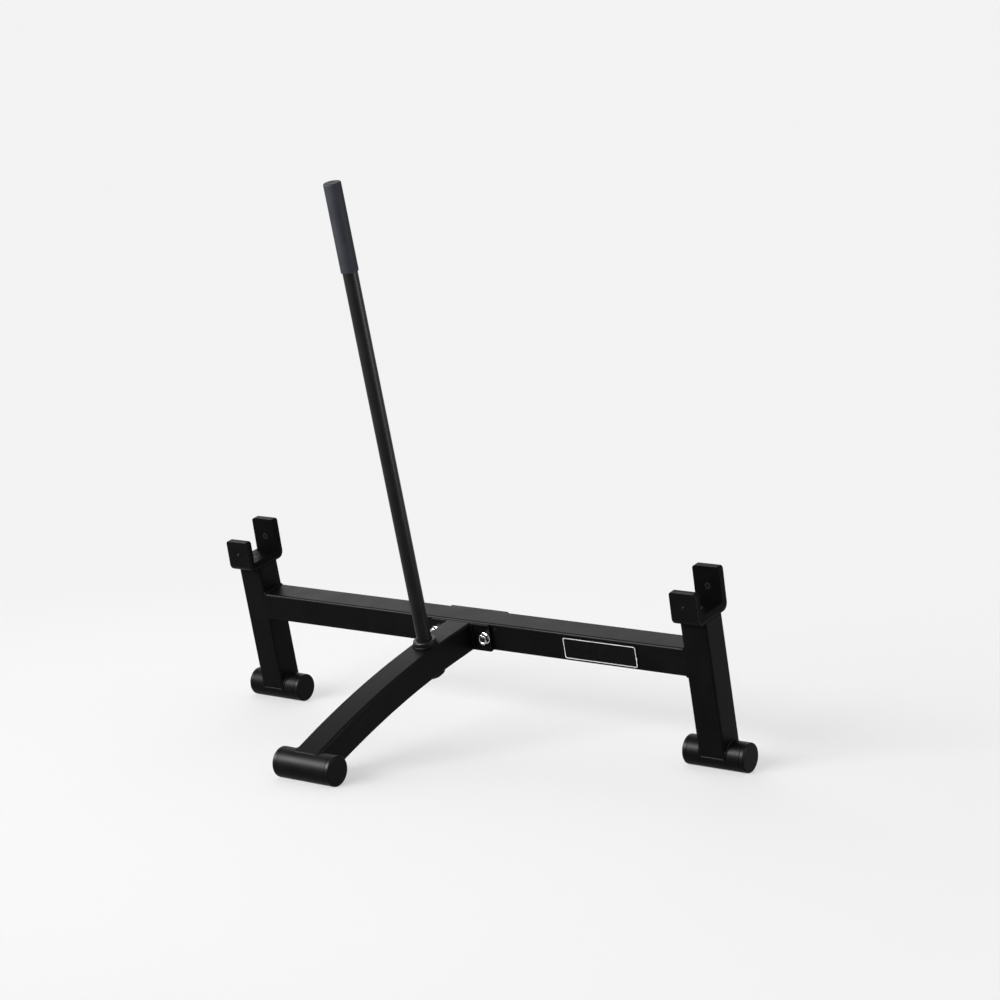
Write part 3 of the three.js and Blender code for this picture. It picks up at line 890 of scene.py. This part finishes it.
# %% Thread bolts and nuts
NUT_HEIGHT = 7.5 * mm
HEAD_HEIGHT = 6.4 * mm
BOLT_SHORT_OF_NUT = 0.5 * mm
WASHER_RADIUS = 10.5 * mm
WASHER_THICKNESS = 2 * mm
THREAD_PITCH = 1.5 * mm
THREAD_TURNS = 14
nut_back = flange_front - SEAM - WASHER_THICKNESS - SEAM
head_front = clamp_back + SEAM + WASHER_THICKNESS + SEAM
shank_length = head_front - (nut_back - NUT_HEIGHT + BOLT_SHORT_OF_NUT)


def thread(radius, start, pitch, turns):
    """The profile of a thread from a height on, as ridges half as deep as their pitch."""
    line = []
    for k in range(turns):
        line += [(radius, start + k * pitch), (radius - abs(pitch) / 2, start + (k + 0.5) * pitch)]
    return line + [(radius, start + turns * pitch)]


def bolt_shank():
    """The shank below the head, its last part threaded and its end chamfered."""
    end, chamfer = -shank_length, 1.1 * mm
    thread_start = end + 1.2 * mm + THREAD_TURNS * THREAD_PITCH
    return turned([(0, 1 * mm), (BOLT_RADIUS, 1 * mm),
                   *thread(BOLT_RADIUS, thread_start, -THREAD_PITCH, THREAD_TURNS),
                   (BOLT_RADIUS - chamfer, end), (0, end)], sides=48)


def nut_bore():
    inner = BOLT_RADIUS + SEAM
    lead, past = 0.7 * mm, 1 * mm
    low, high, wide = -past, NUT_HEIGHT + past, inner + lead + past
    return turned([(0, low), (wide, low), (inner, lead), (inner, NUT_HEIGHT - lead), (wide, high),
                   (0, high)], sides=48)


print("bolt shanks are", round(shank_length / mm, 1), "mm long")

# %% [markdown]
# The bolts are put in from behind, with a washer under each head and each nut. The dark end of each bolt is
# painted shade, for the shadow inside the nut's hole: a second finish on the same mesh, given to the faces
# near its end.

# %% Put the fasteners in
THREAD_LENGTH = 21 * mm
# The turns about X that point a frame's Z to the front and to the back
FORWARDS, BACKWARDS = math.radians(90), math.radians(-90)


def washer_ring():
    inner = BOLT_RADIUS + BOLT_CLEARANCE
    return pipe(inner, WASHER_RADIUS, 0, WASHER_THICKNESS, (0.2, 0.2, 0.7, 0.4), steps=4, sides=64)


def paint_thread_end_shade(bolt, place):
    """Gives the faces of a bolt's last part a dark finish: painted shade, for the shadow inside the nut."""
    bolt.data.materials.append(thread_end_shade)
    to_bolt = place.inverted()
    for face in bolt.data.polygons:
        if (to_bolt @ face.center).z < THREAD_LENGTH - shank_length:
            face.material_index = 1


for side, sign in SIDES.items():
    here = crossbar_frame @ Matrix.Translation((sign * BOLT_SPACING / 2, 0, 0))
    head_seat = here @ tilted((0, head_front, 0), BACKWARDS)
    bolt = piece(f"{side}_clamp_bolt", hexagon(HEAD_HEIGHT), head_seat, f"flange_bolt_{side}", zinc,
                 trims=[chamfer_cone(HEAD_HEIGHT, False)], joins=[bolt_shank()], keep_sharp=25)
    paint_thread_end_shade(bolt, head_seat)
    piece(f"{side}_clamp_nut", hexagon(NUT_HEIGHT), here @ tilted((0, nut_back, 0), FORWARDS),
          f"bolt_nut_{side}", zinc, trims=[chamfer_cone(NUT_HEIGHT, True)], cuts=[nut_bore()],
          keep_sharp=25)
    seats = ("front", flange_front - SEAM, FORWARDS), ("rear", clamp_back + SEAM, BACKWARDS)
    for end, y, facing in seats:
        piece(f"{side}_{end}_washer_ring", washer_ring(), here @ tilted((0, y, 0), facing),
              f"{end}_washer_{side}", zinc)

# %% [markdown]
# ## Cradles
#
# A cradle is one steel strap, bent twice: a low lip in front, a flat floor, and a tall back that stops the
# load when the jack rocks. The real strap is cut flat, its end corners are rounded, and then it is bent.
# The script does the same: it walks along the strap, and at each station lays a small rounded
# cross-section, narrower near the ends where the corners are cut. A Simple Deform modifier could bend a
# flat plate, but only one bend each.

# %% Bend the straps
STRAP_WIDTH = 50.8 * mm
STRAP_THICKNESS = 6 * mm
STRAP_BEND = 13 * mm
STRAP_CORNER = 5.5 * mm
STRAP_EASE = 1.2 * mm
LIP_HEIGHT = 58 * mm
BACK_HEIGHT = 76 * mm
LIP_OVERHANG = 22.1 * mm
CRADLE_DEPTH = 92 * mm
BEND_STEPS = 12
SHARPEST_CORNER = 0.02 * mm
# Stations close together where the end corners are cut, in mm from the strap's end
END_MARKS = (0, 0.1, 0.3, 0.55, 0.8, 1.2, 1.8, 2.6, 3.5, 4.5, 5.5)
lip_outer = -(tube_half + LIP_OVERHANG)
back_outer = lip_outer + CRADLE_DEPTH
lip_centre = Vector((lip_outer + STRAP_BEND, STRAP_BEND))
back_centre = Vector((back_outer - STRAP_BEND, STRAP_BEND))


def quarter(first):
    """Directions that sweep a quarter turn from an angle."""
    return [Vector(point) for point in ring_points(1, 4 * BEND_STEPS, first)[:BEND_STEPS + 1]]


def strap_line():
    """Stations down the lip's outer face, under the floor and up the back: (place, inward direction)."""
    line = []

    def straight(start, end, inward, near=()):
        start, end = Vector(start), Vector(end)
        length = (end - start).length
        marks = sorted({m for m in near if m < length} | {length * k / 4 for k in range(5)})
        line.extend((start.lerp(end, m / length), Vector(inward)) for m in marks)

    def bend(centre, first):
        line.extend((centre + out * STRAP_BEND, -out) for out in quarter(first)[1:-1])

    ends = [mark * mm for mark in END_MARKS]
    rise = BACK_HEIGHT - STRAP_BEND
    straight((lip_outer, LIP_HEIGHT), (lip_outer, STRAP_BEND), (1, 0), ends)
    bend(lip_centre, math.pi)
    straight((lip_centre.x, 0), (back_centre.x, 0), (0, 1))
    bend(back_centre, -math.pi / 2)
    straight((back_outer, STRAP_BEND), (back_outer, BACK_HEIGHT), (-1, 0), [rise - e for e in ends])
    return line


def drawn_in(radius, left):
    """How far a rounding of that radius has drawn in where that much is left to its end."""
    return radius - math.sqrt(max(radius ** 2 - max(radius - left, 0) ** 2, 0))


def strap_shape():
    rings = []
    for place, inward in strap_line():
        height = LIP_HEIGHT if place.x < 0 else BACK_HEIGHT
        left = max(height - place.y, 0)
        cut, thin = drawn_in(STRAP_CORNER, left), drawn_in(STRAP_EASE, left)
        section = rounded_box(STRAP_WIDTH - 2 * cut, STRAP_THICKNESS - 2 * thin,
                              max(STRAP_EASE - thin, SHARPEST_CORNER), 4)
        middle = place + inward * STRAP_THICKNESS / 2
        rings.append([(x, *(middle + inward * depth)) for x, depth in section])
    return skin(rings)


print("a strap has", len(strap_line()), "stations")

# %% [markdown]
# The screws that hold the liners pass through the strap, so their holes are worked out here too. Each screw
# has a frame of its own: it lies in the liner's face, and its Z points the way the screw is driven.

# %% Place the screws
LIP_LINER_THICKNESS = 6 * mm
BACK_LINER_THICKNESS = 8 * mm
BASE_LINER_THICKNESS = 9 * mm
SCREW_RADIUS = 3 * mm
SCREW_HEAD_RADIUS = 6 * mm
SCREW_HEAD_HEIGHT = 3 * mm
SCREW_RECESS = 0.6 * mm
SCREW_END = 1.5 * mm
LIP_SCREW_RISE = 32 * mm
BACK_SCREW_RISE = 42 * mm
DOWNWARDS = math.radians(180)
lip_inner = lip_outer + STRAP_THICKNESS
back_inner = back_outer - STRAP_THICKNESS
lip_face = lip_inner + SEAM + LIP_LINER_THICKNESS
back_face = back_inner - SEAM - BACK_LINER_THICKNESS
base_top = STRAP_THICKNESS + SEAM + BASE_LINER_THICKNESS
screws = {
    "lip": (tilted((0, lip_face - SCREW_RECESS, LIP_SCREW_RISE), FORWARDS), LIP_LINER_THICKNESS),
    "back": (tilted((0, back_face + SCREW_RECESS, BACK_SCREW_RISE), BACKWARDS), BACK_LINER_THICKNESS),
    "base": (tilted((0, 0, base_top - SCREW_RECESS), DOWNWARDS), BASE_LINER_THICKNESS),
}


def screw_length(through):
    return through - SCREW_RECESS + SEAM + STRAP_THICKNESS + SCREW_END


def screw_hole(where):
    """A countersunk hole along one screw."""
    place, through = screws[where]
    gap, past = 0.4 * mm, 6 * mm
    head, shank, end = SCREW_HEAD_RADIUS + gap, SCREW_RADIUS + gap, screw_length(through) + past
    return moved(turned([(0, -past), (head, -past), (head, 0), (shank, SCREW_HEAD_HEIGHT), (shank, end),
                         (0, end)], sides=48), place)


for side in SIDES:
    piece(f"{side}_cradle_bent_strap", strap_shape(), cradle_frame[side], f"cradle_strap_{side}",
          cuts=[screw_hole(where) for where in screws])
longest = max(screw_length(through) for place, through in screws.values())
print("each cradle holds", len(screws), "screws, the longest", round(longest / mm, 1), "mm")

# %% [markdown]
# ## Liners
#
# Thick black plastic keeps the load off the bare steel: one plate on the lip, one on the back, and a block
# on the floor. They are sawn and routed, so their edges are eased but not round. The block's two ends are
# stepped down, and the side plates stand on these steps.

# %% Cut the liners
LINER_SHOULDER = 1 * mm
LINER_EASE = 0.6 * mm
shoulder = base_top - LINER_SHOULDER
inner_bend = STRAP_BEND - STRAP_THICKNESS - SEAM


def side_liner(front, back, height):
    half, low = STRAP_WIDTH / 2, shoulder + SEAM
    outline = soft_line([(-half, low), (half, low), (half, height, STRAP_CORNER),
                         (-half, height, STRAP_CORNER)], 7)
    return pulled(outline, front, back, axis="Y")


def base_liner():
    """The block's outline follows the strap's two inner bends, then goes straight up to its shoulders."""
    outline = [back_centre + out * inner_bend for out in quarter(-math.pi / 2)]
    outline += [(back_inner - SEAM, shoulder), (back_face - SEAM, shoulder), (back_face - SEAM, base_top),
                (lip_face + SEAM, base_top), (lip_face + SEAM, shoulder), (lip_inner + SEAM, shoulder)]
    outline += [lip_centre + out * inner_bend for out in quarter(math.pi)]
    return pulled(outline, -STRAP_WIDTH / 2, STRAP_WIDTH / 2, axis="X")


for side in SIDES:
    for name, node, shape, where in (
        ("lip_liner_plate", "lip_liner", side_liner(lip_inner + SEAM, lip_face, LIP_HEIGHT), "lip"),
        ("back_liner_plate", "back_liner", side_liner(back_face, back_inner - SEAM, BACK_HEIGHT), "back"),
        ("floor_liner_block", "base_liner", base_liner(), "base"),
    ):
        piece(f"{side}_{name}", shape, cradle_frame[side], f"{node}_{side}", liner_plastic,
              cuts=[screw_hole(where)], ease=LINER_EASE)
print("liners in mm:", {where: round(through / mm) for where, (place, through) in screws.items()})

# %% [markdown]
# ## Liner screws
#
# Flat-headed machine screws, sunk just below the liner's face so that the load never touches them. The head
# has a six-sided socket for its key. The far end comes out behind the strap, and shows a few turns of
# thread and a chamfer. The thread is drawn as rings, which look the same as a helix from any side this
# small.

# %% Turn the screws
SCREW_PITCH = 1 * mm
SCREW_TURNS = 3
KEY_ACROSS = 4 * mm
KEY_DEPTH = 2.2 * mm


def screw_shape(length):
    edge_in, edge_down, chamfer = 0.2 * mm, 0.25 * mm, 0.7 * mm
    thread_start = length - 0.8 * mm - SCREW_TURNS * SCREW_PITCH
    return turned([(0, 0), (SCREW_HEAD_RADIUS - edge_in, 0), (SCREW_HEAD_RADIUS, edge_down),
                   (SCREW_RADIUS, SCREW_HEAD_HEIGHT),
                   *thread(SCREW_RADIUS, thread_start, SCREW_PITCH, SCREW_TURNS),
                   (SCREW_RADIUS - chamfer, length), (0, length)], sides=40)


def key_socket():
    return pulled(ring_points(KEY_ACROSS / math.sqrt(3), 6), -1 * mm, KEY_DEPTH)


for side in SIDES:
    for where, (place, through) in screws.items():
        piece(f"{side}_{where}_countersunk_screw", screw_shape(screw_length(through)),
              cradle_frame[side] @ place, f"{where}_liner_screw_{side}", black_steel,
              cuts=[key_socket()], keep_sharp=25)
print("screw sockets are", round(KEY_ACROSS / mm), "mm across")

# %% [markdown]
# ## Label plate
#
# A thin black plate sits on the crossbar between the leg and the right upright. It carries nothing here but
# a thin pale border with rounded corners, a hair proud of the plate, as printed or enamelled lines are. A
# texture could paint the border, but a real ring of paint keeps its edge crisp at any distance.

# %% Make the label plate
LABEL_WIDTH = 148 * mm
LABEL_HEIGHT = 40 * mm
LABEL_THICKNESS = 1.5 * mm
BORDER_WIDTH = 1.3 * mm
BORDER_INSET = 1.3 * mm
BORDER_CORNER = 4.4 * mm
PAINT_HEIGHT = 0.08 * mm
PAINT_SUNK = 0.02 * mm
LABEL_SET_IN = 192.4 * mm
LABEL_DROP = 1 * mm
LABEL_CORNER = 3 * mm
LABEL_EASE = 0.3 * mm
label_frame = crossbar_frame @ Matrix.Translation(
    (UPRIGHT_SPREAD / 2 - LABEL_SET_IN, -(tube_half + SEAM + LABEL_THICKNESS), -LABEL_DROP))
plate = pulled(rounded_box(LABEL_WIDTH, LABEL_HEIGHT, LABEL_CORNER), 0, LABEL_THICKNESS, axis="Y")
piece("label_backing_plate", plate, label_frame, "label_plate", label_black, ease=LABEL_EASE)


def border_ring():
    """The border's paint: four rings, from just under the plate's face to just above it."""
    rings = []
    inner = BORDER_INSET + BORDER_WIDTH
    for inset, y in ((BORDER_INSET, PAINT_SUNK), (BORDER_INSET, -PAINT_HEIGHT), (inner, -PAINT_HEIGHT),
                     (inner, PAINT_SUNK)):
        outline = rounded_box(LABEL_WIDTH - 2 * inset, LABEL_HEIGHT - 2 * inset, BORDER_CORNER - inset)
        rings.append([(x, y, z) for x, z in outline])
    return skin(rings, looped=True)


piece("label_border_line", border_ring(), label_frame, finish=label_border_paint)
print("border line", round(BORDER_WIDTH / mm, 1), "mm wide")

# %% [markdown]
# ## Weld beads
#
# Where tubes meet, a welder has laid a bead: a rounded seam of overlapping crescents, about 3 mm apart,
# painted over with the rest. A bump map could fake it, but the beads show in the jack's outline, so they
# are real geometry: a ring of points swept along the joint. The joint comes as a rough line of points,
# which is first laid out anew in even steps.

# %% Even steps along a joint
RIPPLE = 2.6 * mm
RIPPLE_STEPS = 5


def evenly(points, step, closed):
    """A line of (place, two directions) laid out anew at even steps."""
    line = points + points[:1] if closed else points
    marks = [0]
    for one, other in zip(line, line[1:]):
        marks.append(marks[-1] + (other[0] - one[0]).length)
    count = max(int(marks[-1] / step), 4)
    spots = []
    k = 0
    for i in range(count if closed else count + 1):
        mark = marks[-1] * i / count
        while k < len(marks) - 2 and marks[k + 1] < mark:
            k += 1
        share = (mark - marks[k]) / max(marks[k + 1] - marks[k], 1e-9)
        spots.append((*(a.lerp(b, share) for a, b in zip(line[k], line[k + 1])), mark))
    return spots


print("a bead takes a step every", round(RIPPLE / RIPPLE_STEPS / mm, 2), "mm")

# %% [markdown]
# At each step lies one ring of the bead. Its radius swells and dips along the way, and the swell is drawn
# back at the bead's middle, which gives the crescents. A bevelled curve could be swept instead, but its
# profile stays the same all along. No hand holds a perfect line, so the bead sways a little too.

# %% Shape a bead
BEAD_SIDES = 14
TAPER_STEPS = 5
END_SHARE = 0.35
# As shares of a bead's radius: its lag, its swell and how high it lies, less where the joint is open
RIPPLE_LAG = 0.9
LEAST_SWELL, RIPPLE_SWELL = 0.9, 0.12
CORNER_RISE, OPEN_DROP = 0.35, 0.85
# A power under 1 narrows the dips between the crescents
RIPPLE_POWER = 0.7
# The waves of a hand-laid bead: share of its radius, length and start
SWAYS = ((0.06, 7.3 * mm, 0), (0.04, 2.9 * mm, 1))


def bead_shape(points, radius, closed, lift, ground):
    """A weld bead along (place, one face's normal, the other face's normal).

    It lies in the corner, or is lifted out of it by a share of its radius. An open bead tapers to both
    ends. Ground flush means that nothing of it is left beyond y = +-ground."""
    spots = evenly(points, RIPPLE / RIPPLE_STEPS, closed)
    total = len(spots)
    rings = []
    for i, (place, one, other, mark) in enumerate(spots):
        ahead = spots[(i + 1) % total][0] if closed or i + 1 < total else place
        behind = spots[i - 1][0] if closed or i > 0 else place
        one, other = one.normalized(), other.normalized()
        out = (one + other).normalized()
        across = (ahead - behind).normalized().cross(out).normalized()
        rise = CORNER_RISE - OPEN_DROP * max(one.dot(other), 0) if lift is None else lift
        sway = sum(share * math.sin(mark / length + first) for share, length, first in SWAYS)
        centre = place + (out * rise + across * sway) * radius
        to_end = total if closed else min(i, total - 1 - i)
        fade = min(1, (to_end + END_SHARE) / TAPER_STEPS) ** 0.5
        ring = []
        for outwards, sideways in ring_points(1, BEAD_SIDES):
            drawn_back = mark + RIPPLE_LAG * radius * outwards
            ripple = abs(math.sin(math.pi * drawn_back / RIPPLE)) ** RIPPLE_POWER
            swell = radius * fade * (LEAST_SWELL + RIPPLE_SWELL * ripple)
            point = centre + (out * outwards + across * sideways) * swell
            if ground:
                point.y = max(-ground, min(ground, point.y))
            ring.append(point)
        rings.append(ring)
    return skin(rings, looped=closed)


def bead(name, points, radius, place, closed=True, lift=None, ground=None):
    piece(name, bead_shape(points, radius, closed, lift, ground), place, keep_sharp=25 if ground else 180)


print("each ring of a bead has", BEAD_SIDES, "points")

# %% [markdown]
# The joints themselves are worked out from the tubes, so a bead can't miss its joint. The first kind is a
# saddle: it runs round a square tube where the tube meets a round foot.

# %% Weld the tubes to the feet
FOOT_BEAD = 2 * mm
EDGE_STEP = 2 * mm


def edge_line(outline):
    """A closed outline as (point, outward direction), with points along its straight sides too."""
    points = []
    for k, here in enumerate(outline):
        ahead = outline[(k + 1) % len(outline)]
        parts = max(1, round((ahead - here).length / EDGE_STEP))
        points += [here.lerp(ahead, j / parts) for j in range(parts)]
    along = [points[(k + 1) % len(points)] - points[k - 1] for k in range(len(points))]
    return [(point, Vector((step.y, -step.x)).normalized()) for point, step in zip(points, along)]


tube_edge = edge_line(outer_outline)


def saddle_line():
    """Round a tube along Z that stands on a pipe along X."""
    line = []
    for point, out in tube_edge:
        z = math.sqrt(FOOT_RADIUS ** 2 - point.y ** 2)
        line.append((Vector((*point, z)), Vector((*out, 0)), Vector((0, point.y, z)).normalized()))
    return line


for side, upright in upright_frame.items():
    bead(f"{side}_upright_to_foot_weld", saddle_line(), FOOT_BEAD, upright)
leg_tip = leaning @ leg_frame(leg_end) @ tilted((0, 0, 0), BACKWARDS)
bead("leg_to_front_foot_weld", saddle_line(), FOOT_BEAD, leg_tip)
print("points round a tube:", len(tube_edge))

# %% [markdown]
# The socket is welded to the leg above and below, each time round a circle. The lower bead is the thicker
# one, and shows as a low rim under the leg.

# %% Weld the socket
COLLAR_BEAD = 2.4 * mm
UNDERSIDE_BEAD = 4 * mm


def circle_line(radius, height, up):
    outs = [Vector((*point, 0)) for point in ring_points(1, 72)]
    return [(out * radius + Vector((0, 0, height)), out, Vector((0, 0, up))) for out in outs]


bead("socket_collar_weld", circle_line(SOCKET_RADIUS, tube_half, 1), COLLAR_BEAD, socket_frame)
bead("socket_underside_weld", circle_line(SOCKET_RADIUS, -tube_half, -1), UNDERSIDE_BEAD, socket_frame)
print("socket beads:", round(COLLAR_BEAD / mm, 1), "and", round(UNDERSIDE_BEAD / mm, 1), "mm thick")

# %% [markdown]
# The crossbar's ends are butted against the uprights. Their beads are small fillets above and below. In
# front and behind they are ground flush, so the faces run on without a seam. Their joint is a square, the
# tube's own outline, drawn in a little where the bead is to vanish.

# %% Trace the crossbar's ends
CROSSBAR_BEAD, CROSSBAR_LIFT, GRINDING_LEFT = 3.2 * mm, 0.3, 0.02 * mm
# How deep the bead lies and how far out, and how much more of both where it is ground flush
BUTT_DEPTH, FLUSH_DEPTH = 1 * mm, 1.9 * mm
BUTT_GAP, FLUSH_GAP = 1 * mm, 0.6 * mm


def butt_line(sign):
    """Round the crossbar's end: a small fillet above and below, ground flush in front and behind."""
    line = []
    for point, out in tube_edge:
        flush = 1 - abs(out.y)
        x = sign * (crossbar_half + BUTT_GAP + FLUSH_GAP * flush)
        sunk = point - out * (BUTT_DEPTH + FLUSH_DEPTH * flush)
        outward = Vector((0, *out))
        level = Vector((-sign * (1 - flush), 0, 0))
        # A trace of the outward direction keeps the level one from being zero where the bead is flush
        line.append((Vector((x, *sunk)), outward, level.lerp(outward, 0.001)))
    return line


print("ground flush to", round(GRINDING_LEFT / mm, 2), "mm")

# %% [markdown]
# The last beads are short and straight. They hold the leg to its end plate, and each cradle to its upright
# in front and behind. They taper off at both ends, where the welder starts and stops. One side is welded
# after the other, from the crossbar's end to the cradle.

# %% Weld crossbar, plate and cradles
PLATE_BEAD, PLATE_BEAD_HALF = 2.6 * mm, 22 * mm
CRADLE_BEAD, CRADLE_BEAD_HALF = 2.2 * mm, 21 * mm


def straight_line(half, place, along, one, other):
    """A joint of two faces, that far to both sides of a place, with the faces' two normals."""
    count = round(half / mm)
    return [(Vector(place) + Vector(along) * half * (k / count * 2 - 1), Vector(one), Vector(other))
            for k in range(count + 1)]


for side, sign in SIDES.items():
    bead(f"{side}_crossbar_end_weld", butt_line(sign), CROSSBAR_BEAD, crossbar_frame,
         lift=CROSSBAR_LIFT, ground=tube_half + GRINDING_LEFT)
    plate_joint = straight_line(PLATE_BEAD_HALF, (sign * tube_half, flange_front, 0), (0, 0, 1),
                                (sign, 0, 0), (0, -1, 0))
    bead(f"{side}_leg_end_weld", plate_joint, PLATE_BEAD, crossbar_frame, closed=False)
    for end, y in (("front", -1), ("rear", 1)):
        cradle_joint = straight_line(CRADLE_BEAD_HALF, (0, y * tube_half, 0), (1, 0, 0), (0, y, 0),
                                     (0, 0, -1))
        bead(f"{side}_cradle_{end}_weld", cradle_joint, CRADLE_BEAD, cradle_frame[side], closed=False)

# %% [markdown]
# ## Last measurements
#
# The dressed jack has to be the size of its frame, which could be measured by hand in the viewport.

# %% Measure and finish
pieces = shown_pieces()
visual_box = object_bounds()
print("pieces:", len(pieces), "with", sum(len(thing.data.polygons) for thing in pieces), "faces")
growth = [round((shown - plain) / mm, 2) for corners in zip(visual_box, cad_box)
          for shown, plain in zip(*corners)]
print("box grew by", growth, "mm")
